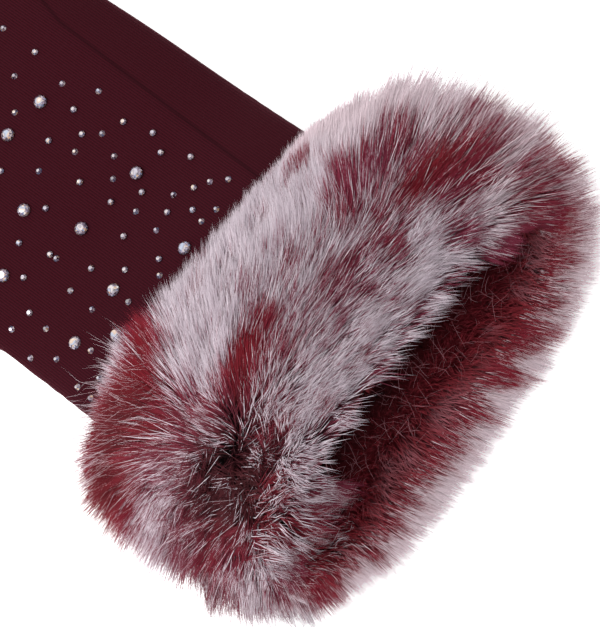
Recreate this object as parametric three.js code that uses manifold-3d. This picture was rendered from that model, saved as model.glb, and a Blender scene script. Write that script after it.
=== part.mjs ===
// A fur-lined winter glove for the right hand, lying palm down and empty.
// Sizes in millimetres. Fingers point to +Y, the opening to -Y, the thumb to -X and the hand's back to +Z.
// The origin lies on the flat underside of the palm.
import * as THREE from "three";
import { mergeVertices } from "three/addons/utils/BufferGeometryUtils.js";
import Module from "manifold-3d";

const wasm = await Module();
wasm.setup();

// Driving dimensions.
const GAP = 0.3; // room left between pieces that touch
const CLOTH = 1.5; // thickness of the doubled stretch cloth
const WRIST_END = -61.5; // where the cloth stops inside the cuff
const HAND_HALF = 48.4; // half the width of the flat hand
const SEAM_HEIGHT = 0.55; // height of the side seam, as a share of the glove's thickness
const FINGER_SEAM = 5.8; // height of the side seam past the fingertips
const CUFF_LEAN = 7.5; // how far the cuff's mouth sits toward the little finger
const MOUTH_SLANT = 10; // how far the cuff's lower lip reaches past the upper one
const PILE_LEAN = 52; // degrees by which the fur's locks lie over from upright
const PILE_SQUARENESS = 2.5; // how square the fur's cross-section is, where 2 makes an ellipse
const LOCKS_ROUND = 16; // how many locks go once round the cuff
const LOCK_FLATNESS = 0.7; // thickness of a lock as a share of its width
const FUR_FOCUS = { x: -27, y: -101 }; // where the fur's parting is, and its locks fan out from
const LARGE_STONE = { radius: 2, height: 1.5, sides: 10, table: 0.52, rim: 0.35, crowns: 2 };
const SMALL_STONE = { radius: 1, height: 0.8, sides: 8, table: 0.55, rim: 0.2, crowns: 1 };

// Cross-sections of the hand from the wrist to the finger roots.
const HAND_ROWS = [
  { along: WRIST_END, centre: 0, half: HAND_HALF, low: 11, high: 25 },
  { along: -53, centre: 0, half: HAND_HALF, low: 8.2, high: 22.6 },
  { along: -45, centre: 0, half: HAND_HALF, low: 5.2, high: 20.4 },
  { along: -36, centre: 0, half: HAND_HALF, low: 1.8, high: 17.8 },
  { along: -28, centre: 0, half: HAND_HALF, low: 0.2, high: 16.2 },
  { along: -20, centre: 0, half: HAND_HALF, low: 0, high: 15.2 },
  { along: 5, centre: 0, half: HAND_HALF, low: 0, high: 14.8 },
  { along: 30, centre: 0, half: 47.6, low: 0, high: 14.2 },
  { along: 50, centre: 0, half: 45.4, low: 0, high: 13.4 },
  { along: 57, centre: 0, half: 43.2, low: 0.6, high: 12.4 },
];

// The four fingers: where the root's middle is, turn from +Y toward +X in degrees, how far the tip reaches.
const FINGERS = [
  { rootX: -33.2, turn: -5.5, reach: 125, half: 10.7 },
  { rootX: -11.2, turn: -1.5, reach: 133, half: 10.8 },
  { rootX: 11.0, turn: 3, reach: 127, half: 10.4 },
  { rootX: 32.2, turn: 8.5, reach: 106, half: 9.6 },
];
const FINGER_ROOT_Y = 38;
// How a finger narrows from its root to its tip. Share is of its length, width of its half-width.
const FINGER_TAPER = [
  { share: 0, width: 0.96, low: 0, high: 12.8 },
  { share: 0.5, width: 0.98, low: 0, high: 12.3 },
  { share: 0.82, width: 0.89, low: 0, high: 11.4 },
  { share: 0.93, width: 0.76, low: 0.5, high: 10.6 },
  { share: 0.98, width: 0.52, low: 1.6, high: 9.2 },
  { share: 1, width: 0.2, low: 3.6, high: 7.2 },
];

const THUMB = { rootX: -31, rootY: -10, turn: -37, length: 88, half: 11.6 };
const THUMB_TAPER = [
  { share: 0, width: 1.38, low: 0, high: 13.2 },
  { share: 0.3, width: 1.2, low: 0, high: 13.2 },
  { share: 0.5, width: 1.04, low: 0, high: 13 },
  { share: 0.72, width: 1, low: 0, high: 12.8 },
  { share: 0.87, width: 0.88, low: 0.2, high: 11.8 },
  { share: 0.95, width: 0.66, low: 1.2, high: 10.6 },
  { share: 1, width: 0.26, low: 3.8, high: 8 },
];

// The seam that lies on top near the little finger's edge, from behind the wrist to past the fingertips.
const TOP_SEAM = [
  { across: 31.4, along: -200 },
  { across: 32.2, along: -50 },
  { across: 36.4, along: 28 },
  { across: 44, along: 58 },
  { across: 60, along: 72 },
  { across: 60, along: 200 },
];

// The inside of the fur's backing, from the wrist to the mouth. Pile is the lining's thickness inside it.
const BACKING_ROWS = [
  { along: WRIST_END - GAP, centre: 0, half: 48.4, low: 11, high: 25, slant: 0, pile: 2 },
  { along: -74, centre: 1.6, half: 50.6, low: 10.2, high: 27.6, slant: 1.5, pile: 3 },
  { along: -92, centre: 4, half: 53, low: 9.8, high: 31, slant: 4, pile: 4 },
  { along: -108, centre: 6, half: 55, low: 9.6, high: 34, slant: 7, pile: 4.4 },
  { along: -122, centre: CUFF_LEAN, half: 56.4, low: 9.4, high: 36.4, slant: MOUTH_SLANT, pile: 4.4 },
];

// The dense lower part of the outer pile, which the locks stand out from.
const PILE_ROWS = [
  { along: -58.5, centre: 1, half: 53, low: 4.6, high: 27.6, slant: -1 },
  { along: -63, centre: 1.8, half: 60, low: 0, high: 34, slant: 0 },
  { along: -75, centre: 3.6, half: 66, low: 0, high: 39.5, slant: 1.5 },
  { along: -92, centre: 5.6, half: 68.5, low: 0, high: 43.5, slant: 4 },
  { along: -108, centre: 6.8, half: 69, low: 0, high: 46, slant: 7 },
  { along: -118, centre: CUFF_LEAN, half: 67, low: 0, high: 45.5, slant: MOUTH_SLANT },
  { along: -123.5, centre: CUFF_LEAN, half: 62.5, low: 2.6, high: 41.6, slant: MOUTH_SLANT },
];

// Rounds of locks from the glove's side of the cuff to its mouth. Share is the place along the pile's rows.
const LOCK_ROUNDS = [
  { share: 0.08, length: 13, radius: 7, underneath: true },
  { share: 0.3, length: 20, radius: 9, underneath: false },
  { share: 0.52, length: 20, radius: 9, underneath: false },
  { share: 0.74, length: 20, radius: 9, underneath: false },
  { share: 0.95, length: 14, radius: 7, underneath: true },
];

// A lock from root to tip: share of its length, width as a share of its radius, and how far it lies over.
const LOCK_PROFILE = [
  { share: -0.15, width: 1, bend: 0.6 },
  { share: 0.45, width: 0.78, bend: 0.9 },
  { share: 1, width: 0.1, bend: 1.2 },
];

// Flat-backed stones on the back of the hand, as they are strewn from the cuff to the knuckles.
const LARGE_STONES = [
  { across: 4.1, along: -48.3 },
  { across: -26.5, along: -46.2 },
  { across: -17.0, along: -36.6 },
  { across: -35.3, along: -35.8 },
  { across: 13.5, along: -20.5 },
  { across: -8.3, along: -16.4 },
  { across: -32.1, along: -4.5 },
  { across: -13.6, along: 1.7 },
  { across: -37.0, along: 12.5 },
  { across: 14.4, along: 17.3 },
  { across: 1.3, along: 19.7 },
  { across: -21.5, along: 24.0 },
  { across: 4.0, along: 41.5 },
];
const SMALL_STONES = [
  { across: 26.7, along: -46.8 },
  { across: 14.1, along: -43.0 },
  { across: -17.2, along: -43.2 },
  { across: -2.5, along: -43.3 },
  { across: 19.4, along: -38.9 },
  { across: 9.5, along: -36.3 },
  { across: -10.5, along: -35.8 },
  { across: 26.0, along: -31.8 },
  { across: -3.1, along: -29.0 },
  { across: -15.8, along: -26.3 },
  { across: 10.0, along: -25.5 },
  { across: -24.3, along: -24.9 },
  { across: 22.2, along: -23.0 },
  { across: 2.7, along: -19.1 },
  { across: -36.2, along: -17.8 },
  { across: 25.5, along: -17.2 },
  { across: -19.4, along: -13.0 },
  { across: -29.1, along: -10.2 },
  { across: 23.3, along: -7.7 },
  { across: 2.2, along: -7.6 },
  { across: -9.5, along: -3.6 },
  { across: -21.9, along: -2.9 },
  { across: 13.7, along: 0.6 },
  { across: 18.1, along: 7.3 },
  { across: 6.7, along: 8.0 },
  { across: -8.3, along: 14.9 },
  { across: 25.3, along: 28.2 },
];

const CLOTH_SIDES = 24;
const FINGER_SIDES = 14;
const FUR_SIDES = 26;
const LOCK_SIDES = 4;
const FLOOR_PRESS = 1.14; // how much a section would sag below the floor if it weren't pressed flat there

/** Turns a stack of rings with equally many points into one closed geometry. */
function loft(rings) {
  const count = rings[0].length;
  const index = [];
  for (let r = 0; r + 1 < rings.length; r += 1) {
    for (let i = 0; i < count; i += 1) {
      const here = r * count + i;
      const next = r * count + ((i + 1) % count);
      index.push(here, next, here + count);
      index.push(next, next + count, here + count);
    }
  }
  const last = (rings.length - 1) * count;
  for (let i = 1; i + 1 < count; i += 1) {
    index.push(0, i + 1, i);
    index.push(last, last + i, last + i + 1);
  }
  const geometry = new THREE.BufferGeometry().setFromPoints(rings.flat());
  geometry.setIndex(index);
  return geometry;
}

/** Makes a solid that can be joined and cut from a closed geometry. */
function solidOf(geometry) {
  const bare = geometry.clone();
  bare.deleteAttribute("normal");
  bare.deleteAttribute("uv");
  const merged = mergeVertices(bare);
  return new wasm.Manifold(new wasm.Mesh({
    numProp: 3,
    vertProperties: new Float32Array(merged.attributes.position.array),
    triVerts: new Uint32Array(merged.index.array),
  }));
}

/** Gives a solid back as a geometry. */
function geometryOf(solid) {
  const mesh = solid.getMesh();
  const geometry = new THREE.BufferGeometry();
  geometry.setAttribute("position", new THREE.BufferAttribute(new Float32Array(mesh.vertProperties), 3));
  geometry.setIndex(new THREE.BufferAttribute(new Uint32Array(mesh.triVerts), 1));
  return geometry;
}

/** The largest unbroken skin of a geometry, without the small hollows that neighbouring locks close off. */
function outerSkin(geometry) {
  const index = geometry.index.array;
  const parent = Array.from({ length: geometry.attributes.position.count }, (_, vertex) => vertex);
  const skinOf = (vertex) => {
    let top = vertex;
    while (parent[top] !== top) {
      parent[top] = parent[parent[top]];
      top = parent[top];
    }
    return top;
  };
  for (let i = 0; i < index.length; i += 3) {
    parent[skinOf(index[i])] = skinOf(index[i + 1]);
    parent[skinOf(index[i + 1])] = skinOf(index[i + 2]);
  }
  const skins = new Map();
  for (let i = 0; i < index.length; i += 3) {
    const skin = skinOf(index[i]);
    skins.set(skin, [...(skins.get(skin) ?? []), index[i], index[i + 1], index[i + 2]]);
  }
  const largest = [...skins.values()].reduce((best, skin) => (skin.length > best.length ? skin : best));
  geometry.setIndex(largest);
  return geometry;
}

/** The point of a row's rounded section at an angle, before the tube is placed: side, run and height. */
function sectionPoint(row, angle, inset, squareness) {
  const c = Math.cos(angle);
  const s = Math.sin(angle);
  const low = row.low + inset;
  const high = row.high - inset;
  const middle = row.low + SEAM_HEIGHT * (row.high - row.low);
  const reach = s > 0 ? high - middle : (middle - low) * FLOOR_PRESS;
  const side = Math.sign(c) * Math.abs(c) ** (2 / squareness) * (row.half - inset);
  const height = Math.max(low, middle + Math.sign(s) * Math.abs(s) ** (2 / squareness) * reach);
  const lean = (row.slant ?? 0) * (row.high - height) / (row.high - row.low);
  return { side: row.centre + side, run: row.along - lean, height };
}

/** A ring of points round one row, on a line that starts at a base point and is turned away from +Y. */
function ringOf(row, { inset = 0, sides = CLOTH_SIDES, squareness = 3, base = [0, 0], turn = 0 } = {}) {
  const heading = THREE.MathUtils.degToRad(turn);
  const ring = [];
  for (let i = 0; i < sides; i += 1) {
    const { side, run, height } = sectionPoint(row, (2 * Math.PI * i) / sides, inset, squareness);
    const x = base[0] + run * Math.sin(heading) + side * Math.cos(heading);
    const y = base[1] + run * Math.cos(heading) - side * Math.sin(heading);
    ring.push(new THREE.Vector3(x, y, height));
  }
  return ring;
}

/** The solid inside a stack of rows. */
function tube(rows, options) {
  const upward = rows.at(-1).along > rows[0].along;
  const rings = rows.map((row) => ringOf(row, options));
  return solidOf(loft(upward ? rings.reverse() : rings));
}

/** Rows of a finger or thumb, from its taper and size. */
function taperedRows(taper, length, half, inset) {
  return taper.map((step) => ({
    along: step.share * (length - inset),
    centre: 0,
    half: step.width * half,
    low: step.low,
    high: step.high,
  }));
}

/** A finger's solid, smaller all round by the inset. */
function finger({ rootX, turn, reach, half }, inset) {
  const length = (reach - FINGER_ROOT_Y) / Math.cos(THREE.MathUtils.degToRad(turn));
  const rows = taperedRows(FINGER_TAPER, length, half, inset);
  return tube(rows, { inset, sides: FINGER_SIDES, base: [rootX, FINGER_ROOT_Y], turn });
}

/** The thumb's solid, smaller all round by the inset. */
function thumb(inset) {
  const rows = taperedRows(THUMB_TAPER, THUMB.length, THUMB.half, inset);
  return tube(rows, { inset, sides: FINGER_SIDES, base: [THUMB.rootX, THUMB.rootY], turn: THUMB.turn });
}

/** The hand with its fingers, smaller all round by the inset. The overrun lengthens it at the wrist. */
function hand(inset, overrun) {
  const wrist = { ...HAND_ROWS[0], along: WRIST_END - overrun };
  const knuckles = { ...HAND_ROWS.at(-1), along: HAND_ROWS.at(-1).along - inset };
  const rows = [wrist, ...HAND_ROWS.slice(overrun > 0 ? 0 : 1, -1), knuckles];
  return FINGERS.reduce((whole, row) => whole.add(finger(row, inset)), tube(rows, { inset }));
}

/** A box given by its lowest and highest corner. */
function block(low, high) {
  const size = high.map((value, axis) => value - low[axis]);
  const geometry = new THREE.BoxGeometry(...size);
  geometry.translate(...low.map((value, axis) => value + size[axis] / 2));
  return solidOf(geometry);
}

/** A flat outline pushed out from its lowest to its highest level. */
function slab(outline, from, to) {
  const shape = new THREE.Shape(outline.map(([u, v]) => new THREE.Vector2(u, v)));
  const geometry = new THREE.ExtrudeGeometry(shape, { depth: to - from, bevelEnabled: false });
  geometry.translate(0, 0, from);
  return geometry;
}

/** The room above the side seams, which holds the back panel. Growing it makes the seam's gap. */
function roomAboveSeams(grow) {
  const far = 200;
  const rise = HAND_ROWS.map((row) => [row.along, row.low + SEAM_HEIGHT * (row.high - row.low) - grow]);
  const side = [[-far, rise[0][1]], ...rise, [far, FINGER_SEAM - grow], [far, far], [-far, far]];
  const sideways = slab(side, -far, far);
  // The outline is drawn in (y, z) and pushed along x.
  sideways.applyMatrix4(new THREE.Matrix4().set(0, 0, 1, 0, 1, 0, 0, 0, 0, 1, 0, 0, 0, 0, 0, 1));
  const seam = TOP_SEAM.map(({ across, along }) => [across + grow, along]);
  const plan = [[-far, -far], ...seam, [-far, far]];
  return solidOf(sideways).intersect(solidOf(slab(plan, -far, far)));
}

/** A row of a table at any share of the way along it. */
function rowAt(rows, share) {
  const place = Math.min(share * (rows.length - 1), rows.length - 1.0001);
  const before = Math.floor(place);
  const blend = place - before;
  const row = {};
  for (const key of Object.keys(rows[0])) {
    row[key] = THREE.MathUtils.lerp(rows[before][key], rows[before + 1][key], blend);
  }
  return row;
}

/** A point on the pile's dense part, by the share along the cuff and the share round it. */
function pilePoint(share, around) {
  const ring = ringOf(rowAt(PILE_ROWS, share), { sides: 48, squareness: PILE_SQUARENESS });
  return new THREE.CatmullRomCurve3(ring, true).getPointAt(around - Math.floor(around));
}

/** The outward direction of the pile's dense part at a point of it. */
function pileNormal(share, around) {
  const step = 0.01;
  const across = pilePoint(share, around + step).sub(pilePoint(share, around - step));
  const along = pilePoint(share + step, around).sub(pilePoint(share - step, around));
  return new THREE.Vector3().crossVectors(across, along).normalize();
}

/** One lock of fur: a bent spike with four sides, rooted in the dense pile. */
function lock(root, normal, length, radius, spin) {
  const flow = new THREE.Vector3(root.x - FUR_FOCUS.x, root.y - FUR_FOCUS.y, 0);
  flow.addScaledVector(normal, -flow.dot(normal)).normalize();
  const rings = LOCK_PROFILE.map((stage) => {
    const lean = THREE.MathUtils.degToRad(PILE_LEAN * stage.bend);
    const heading = normal.clone().multiplyScalar(Math.cos(lean)).addScaledVector(flow, Math.sin(lean));
    const middle = root.clone().addScaledVector(heading, length * stage.share);
    const u = new THREE.Vector3().crossVectors(heading, normal).normalize();
    const v = new THREE.Vector3().crossVectors(heading, u);
    const ring = [];
    for (let i = 0; i < LOCK_SIDES; i += 1) {
      const turn = spin + (2 * Math.PI * i) / LOCK_SIDES;
      const point = middle.clone().addScaledVector(u, Math.cos(turn) * radius * stage.width);
      ring.push(point.addScaledVector(v, Math.sin(turn) * radius * stage.width * LOCK_FLATNESS));
    }
    return ring;
  });
  return solidOf(loft(rings));
}

/** A number from 0 to 1 that looks random but is the same each time. */
function scatter(seed) {
  const value = Math.sin(seed * 127.1 + 11.7) * 43758.5453;
  return value - Math.floor(value);
}

/** The inside of the fur's backing, grown or shrunk, and run past both ends by the overrun. */
function backing(inset, overrun) {
  const first = { ...BACKING_ROWS[0], along: BACKING_ROWS[0].along + overrun };
  const last = { ...BACKING_ROWS.at(-1), along: BACKING_ROWS.at(-1).along - overrun };
  const rows = overrun > 0 ? [first, ...BACKING_ROWS, last] : BACKING_ROWS;
  return tube(rows, { inset, sides: FUR_SIDES });
}

/** The outer fur: a dense sleeve with locks, pressed flat on the floor and hollow all the way through. */
function cuffFur() {
  let fur = tube(PILE_ROWS, { sides: FUR_SIDES, squareness: PILE_SQUARENESS });
  LOCK_ROUNDS.forEach(({ share, length, radius, underneath }, round) => {
    for (let k = 0; k < LOCKS_ROUND; k += 1) {
      const seed = round * LOCKS_ROUND + k;
      const around = (k + (round % 2) * 0.5 + 0.3 * scatter(seed)) / LOCKS_ROUND;
      const normal = pileNormal(share, around);
      if (underneath || normal.z > -0.6) {
        const reach = length * (0.86 + 0.28 * scatter(seed + 0.5));
        fur = fur.add(lock(pilePoint(share, around), normal, reach, radius, scatter(seed + 0.25)));
      }
    }
  });
  const far = 300;
  const hollow = backing(-GAP, 30).add(hand(-GAP, 0));
  return fur.subtract(hollow).subtract(block([-far, -far, -far], [far, far, 0]));
}

/** The lining: a sleeve of shorter pile whose inner face is tufted. */
function furLining() {
  const rings = [];
  const rounds = 6;
  for (let r = 0; r < rounds; r += 1) {
    const row = rowAt(BACKING_ROWS, r / (rounds - 1));
    row.along += r === 0 ? 1 : 0;
    row.along -= r === rounds - 1 ? 1 : 0;
    const ring = [];
    for (let i = 0; i < FUR_SIDES; i += 1) {
      const tuft = 1 + 0.22 * ((i + r) % 2 === 0 ? 1 : -1);
      const angle = (2 * Math.PI * i) / FUR_SIDES;
      const { side, run, height } = sectionPoint(row, angle, row.pile * tuft, 3);
      ring.push(new THREE.Vector3(side, run, height));
    }
    rings.push(ring);
  }
  return backing(0, 0).subtract(solidOf(loft(rings)));
}

/** A flat-backed stone with a straight rim, one or two rounds of crown facets and a table. */
function stoneGeometry({ radius, height, sides, table, rim, crowns }) {
  const levels = [
    { radius, z: 0, shift: 0 },
    { radius, z: rim, shift: 0 },
  ];
  for (let c = 1; c <= crowns; c += 1) {
    const rise = c / crowns;
    levels.push({
      radius: THREE.MathUtils.lerp(radius, radius * table, rise ** 1.6),
      z: THREE.MathUtils.lerp(rim, height, rise),
      shift: c / 2,
    });
  }
  const rings = levels.map((level) => {
    const ring = [];
    for (let i = 0; i < sides; i += 1) {
      const angle = (2 * Math.PI * (i + level.shift)) / sides;
      ring.push(new THREE.Vector3(level.radius * Math.cos(angle), level.radius * Math.sin(angle), level.z));
    }
    return ring;
  });
  return loft(rings);
}

/** A named mesh in its own material. */
function piece(name, geometry, { color, roughness, metalness = 0 }) {
  const material = new THREE.MeshStandardMaterial({ color, roughness, metalness, flatShading: true });
  const mesh = new THREE.Mesh(geometry, material);
  mesh.name = name;
  return mesh;
}

const clothFinish = { color: 0x381119, roughness: 0.9 };
const thumbInside = thumb(CLOTH);
const handShell = hand(0, 0).subtract(hand(CLOTH, 5)).subtract(thumbInside);
const thumbShell = thumb(0).subtract(thumbInside).subtract(hand(-GAP, 0));
const backPanel = piece("back_panel", geometryOf(handShell.intersect(roomAboveSeams(0))), clothFinish);

const glove = new THREE.Group();
glove.add(
  backPanel,
  piece("palm_panel", geometryOf(handShell.subtract(roomAboveSeams(GAP))), clothFinish),
  piece("thumb_back", geometryOf(thumbShell.intersect(roomAboveSeams(0))), clothFinish),
  piece("thumb_palm", geometryOf(thumbShell.subtract(roomAboveSeams(GAP))), clothFinish),
  piece("cuff_fur", outerSkin(geometryOf(cuffFur())), { color: 0x9a7680, roughness: 1 }),
  piece("fur_lining", geometryOf(furLining()), { color: 0x53171e, roughness: 1 }),
);

/** Sets one stone on the back panel, flat side down and square to the cloth under it. */
function setStone(name, geometry, { across, along }) {
  const ray = new THREE.Raycaster(new THREE.Vector3(across, along, 100), new THREE.Vector3(0, 0, -1));
  const { point, face } = ray.intersectObject(backPanel)[0];
  const stone = piece(name, geometry, { color: 0xdfe6f2, roughness: 0.05, metalness: 0.3 });
  stone.position.copy(point).addScaledVector(face.normal, GAP);
  stone.quaternion.setFromUnitVectors(new THREE.Vector3(0, 0, 1), face.normal);
  glove.add(stone);
}

const largeStone = stoneGeometry(LARGE_STONE);
const smallStone = stoneGeometry(SMALL_STONE);
const numbered = (i) => String(i + 1).padStart(2, "0");
LARGE_STONES.forEach((place, i) => setStone(`stone_large_${numbered(i)}`, largeStone, place));
SMALL_STONES.forEach((place, i) => setStone(`stone_small_${numbered(i)}`, smallStone, place));

export default glove;
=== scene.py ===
import math

import bmesh
import bpy
import numpy as np
from mathutils import Matrix, Vector, noise
from mathutils.bvhtree import BVHTree


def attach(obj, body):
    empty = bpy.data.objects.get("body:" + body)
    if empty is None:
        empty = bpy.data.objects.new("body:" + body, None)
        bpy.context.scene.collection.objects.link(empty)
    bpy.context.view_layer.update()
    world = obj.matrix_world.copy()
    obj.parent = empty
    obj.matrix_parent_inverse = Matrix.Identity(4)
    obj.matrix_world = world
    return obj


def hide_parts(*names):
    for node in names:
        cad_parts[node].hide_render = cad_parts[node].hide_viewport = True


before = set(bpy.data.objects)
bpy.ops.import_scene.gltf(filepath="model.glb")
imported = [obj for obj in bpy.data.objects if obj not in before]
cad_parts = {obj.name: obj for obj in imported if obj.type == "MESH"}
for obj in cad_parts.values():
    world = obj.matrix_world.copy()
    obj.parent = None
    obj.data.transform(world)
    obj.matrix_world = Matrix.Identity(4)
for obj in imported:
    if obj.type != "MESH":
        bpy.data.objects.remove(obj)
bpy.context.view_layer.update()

# Camera
# The glove is seen from above with the cuff's open end toward the viewer. The line of sight is tilted 20
# degrees from straight down, and the picture turned, so that the glove runs from upper left to lower right.
MM = 0.001
TILT = math.radians(20)
TURN = math.radians(54.8)
AIM = Vector((7.75, -86.6, 20)) * MM  # what lies in the middle of the picture
CAMERA_DISTANCE = 0.8589
look = Vector((0, math.sin(TILT), -math.cos(TILT)))
across = Vector((1, 0, 0))
away = Vector((0, math.cos(TILT), math.sin(TILT)))
right = across * math.cos(TURN) - away * math.sin(TURN)
up = across * math.sin(TURN) + away * math.cos(TURN)
camera = bpy.data.objects.new("camera", bpy.data.cameras.new("camera"))
camera.data.lens = 180
camera.data.sensor_fit = "VERTICAL"
camera.data.sensor_height = 36
stand = Matrix((right, up, -look)).transposed().to_4x4()
stand.translation = AIM - look * CAMERA_DISTANCE
camera.matrix_world = stand
bpy.context.collection.objects.link(camera)
bpy.context.scene.camera = camera


# Floor and light
# A light table with matt white paper on it, under an even white sky and one large soft lamp from the fingers'
# side, so that the ground stays white and the shadows nearly vanish.
def linear(colour):
    """The linear RGBA of an sRGB hex colour."""
    channels = [int(colour[i:i + 2], 16) / 255 for i in (1, 3, 5)]
    return (*[c / 12.92 if c <= 0.04045 else ((c + 0.055) / 1.055) ** 2.4 for c in channels], 1.0)


def add(tree, kind, inputs=None, **settings):
    """Adds a node with its settings. An input that is given a node or a socket is linked to it."""
    node = tree.nodes.new(kind)
    for name, value in settings.items():
        setattr(node, name, value)
    for key, value in (inputs or {}).items():
        if isinstance(value, bpy.types.Node):
            value = next(socket for socket in value.outputs if socket.enabled)
        if isinstance(value, bpy.types.NodeSocket):
            tree.links.new(value, node.inputs[key])
        else:
            node.inputs[key].default_value = value
    return node


def empty_finish(name):
    """A material without nodes, and its node tree."""
    finish = bpy.data.materials.new(name)
    finish.use_nodes = True
    finish.node_tree.nodes.clear()
    return finish, finish.node_tree


# Kinds of nodes that come up often, here and at the head of later materials.
MIX = "ShaderNodeMix"
NOISE = "ShaderNodeTexNoise"

white_paper, tree = empty_finish("matt_white_paper")
# Fibres in the paper are too fine to see, so the eye gets an almost even white. Here and below, a pattern's
# scale is how many of its puffs go into a millimetre.
grain = add(tree, NOISE, {"Scale": 0.9 / MM, "Detail": 2.0})
shade = add(tree, MIX, {0: grain, 6: linear("#f1f1f1"), 7: linear("#f6f6f6")}, data_type="RGBA")
reflected = add(tree, "ShaderNodeBsdfDiffuse", {"Color": shade})
glow = add(tree, "ShaderNodeEmission", {"Color": shade, "Strength": 0.7})
surface = add(tree, "ShaderNodeAddShader", {0: reflected, 1: glow})
add(tree, "ShaderNodeOutputMaterial", {"Surface": surface})

FLOOR_HALF = 3.0
FLOOR_HEIGHT = -0.2 * MM
corners = [(x * FLOOR_HALF, y * FLOOR_HALF, FLOOR_HEIGHT) for x, y in ((-1, -1), (1, -1), (1, 1), (-1, 1))]
sheet = bpy.data.meshes.new("floor")
sheet.from_pydata(corners, [], [(0, 1, 2, 3)])
sheet.materials.append(white_paper)
floor = bpy.data.objects.new("floor", sheet)
bpy.context.collection.objects.link(floor)

sky = bpy.data.worlds.new("sky")
sky.use_nodes = True
sky.node_tree.nodes["Background"].inputs["Color"].default_value = (1, 1, 1, 1)
sky.node_tree.nodes["Background"].inputs["Strength"].default_value = 0.95
bpy.context.scene.world = sky

lamp = bpy.data.lights.new("soft_lamp", "AREA")
lamp.shape = "SQUARE"
lamp.size = 0.9
lamp.energy = 14
soft_lamp = bpy.data.objects.new("soft_lamp", lamp)
soft_lamp.location = (-0.55, 0.25, 1.2)
soft_lamp.rotation_euler = (Vector((0, -0.09, 0)) - soft_lamp.location).to_track_quat("-Z", "Y").to_euler()
bpy.context.collection.objects.link(soft_lamp)
bpy.context.scene.view_settings.view_transform = "Standard"

# Hand, fingers and thumb
# Two panels of fine stretch jersey, sewn together inside out, with the palm's panel brought over the little
# finger's edge so that the seam lies on top there. The thumb is sewn in. The glove lies flat and empty.
SEAM_SHARE = 0.55  # height of the side seam, as a share of the glove's thickness
PRESS = 1.14  # how much a section would sag below the floor if it weren't flat there
WRIST_END = -61.5

# Cross-sections in millimetres: place along the glove, middle, half-width, underside, top, slant.
HAND = np.array([
    (-68, 0, 48.4, 11, 25, 0),
    (WRIST_END, 0, 48.4, 11, 25, 0),
    (-53, 0, 48.4, 8.2, 22.6, 0),
    (-45, 0, 48.4, 5.2, 20.4, 0),
    (-36, 0, 48.4, 1.8, 17.8, 0),
    (-28, 0, 48.4, 0.2, 16.2, 0),
    (-20, 0, 48.4, 0, 15.2, 0),
    (5, 0, 48.4, 0, 14.8, 0),
    (30, 0, 47.6, 0, 14.2, 0),
    (50, 0, 45.4, 0, 13.4, 0),
    (57, 0, 43.2, 0.6, 12.4, 0),
])
# Each finger: root's middle, turn away from +Y in degrees, where the tip reaches, half-width.
FINGERS = (
    (-33.2, -5.5, 125, 10.7),
    (-11.2, -1.5, 133, 10.8),
    (11.0, 3, 127, 10.4),
    (32.2, 8.5, 106, 9.6),
)
FINGER_ROOT = 38
# A taper's rows: share of the length, share of the half-width, underside, top.
FINGER_TAPER = np.array([
    (0, 0.96, 0, 12.8),
    (0.5, 0.98, 0, 12.3),
    (0.82, 0.89, 0, 11.4),
    (0.93, 0.76, 0.5, 10.6),
    (0.98, 0.52, 1.6, 9.2),
    (1, 0.2, 3.6, 7.2),
])
THUMB_ROOT = (-31, -10)
THUMB_TURN = -37
THUMB_LENGTH = 88
THUMB_HALF = 11.6
THUMB_TAPER = np.array([
    (0, 1.38, 0, 13.2),
    (0.3, 1.2, 0, 13.2),
    (0.5, 1.04, 0, 13),
    (0.72, 1, 0, 12.8),
    (0.87, 0.88, 0.2, 11.8),
    (0.95, 0.66, 1.2, 10.6),
    (1, 0.26, 3.8, 8),
])
# The seam that lies on top, on the little finger's side, as (across, along).
TOP_SEAM = ((31.4, -80), (31.4, -62), (32.2, -50), (36.4, 28), (44, 58), (60, 72))
LET_OUT = 2.0  # the cloth's voxels are smoothed, which draws its edges in by this much
FLOOR_GAP = 0.1  # how far the lowest cloth stays above the frame's ground, in millimetres
CLOTH_THICKNESS = 1.4 * MM


def refined(rows, steps):
    """Rows with smooth in-between ones, steps of them for each that was given."""
    padded = np.vstack([2 * rows[0] - rows[1], rows, 2 * rows[-1] - rows[-2]])
    out = []
    for i in range(1, len(padded) - 2):
        before, start, end, after = padded[i - 1:i + 3]
        for t in np.arange(steps) / steps:
            bend = (2 * before - 5 * start + 4 * end - after) * t ** 2
            twist = (3 * start - before - 3 * end + after) * t ** 3
            out.append(0.5 * (2 * start + (end - before) * t + bend + twist))
    out.append(rows[-1])
    return np.array(out)


def section(row, sides=48, squareness=3.0, base=(0, 0), heading=0.0):
    """The ring of points round one cross-section, on a line from the base that is turned away from +Y."""
    along, centre, half, low, high, slant = row
    angle = np.arange(sides) * 2 * np.pi / sides
    c, s = np.cos(angle), np.sin(angle)
    middle = low + SEAM_SHARE * (high - low)
    reach = np.where(s > 0, high - middle, (middle - low) * PRESS)
    side = centre + np.sign(c) * np.abs(c) ** (2 / squareness) * half
    height = np.maximum(low, middle + np.sign(s) * np.abs(s) ** (2 / squareness) * reach)
    run = along - slant * (high - height) / (high - low)
    t = math.radians(heading)
    x = base[0] + run * math.sin(t) + side * math.cos(t)
    y = base[1] + run * math.cos(t) - side * math.sin(t)
    return np.stack([x, y, height], axis=1)


def skin(rings, looped=False):
    """Points in metres and faces of a closed skin over rings. A looped one runs back to its first ring."""
    count = len(rings[0])
    total = len(rings)
    faces = []
    pairs = [(i, (i + 1) % count) for i in range(count)]
    for r in range(total if looped else total - 1):
        here, there = r * count, (r + 1) % total * count
        faces += [(here + i, here + j, there + j, there + i) for i, j in pairs]
    if not looped:
        faces += [tuple(range(count))[::-1], tuple(range((total - 1) * count, total * count))]
    return np.vstack(rings) * MM, faces


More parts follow.
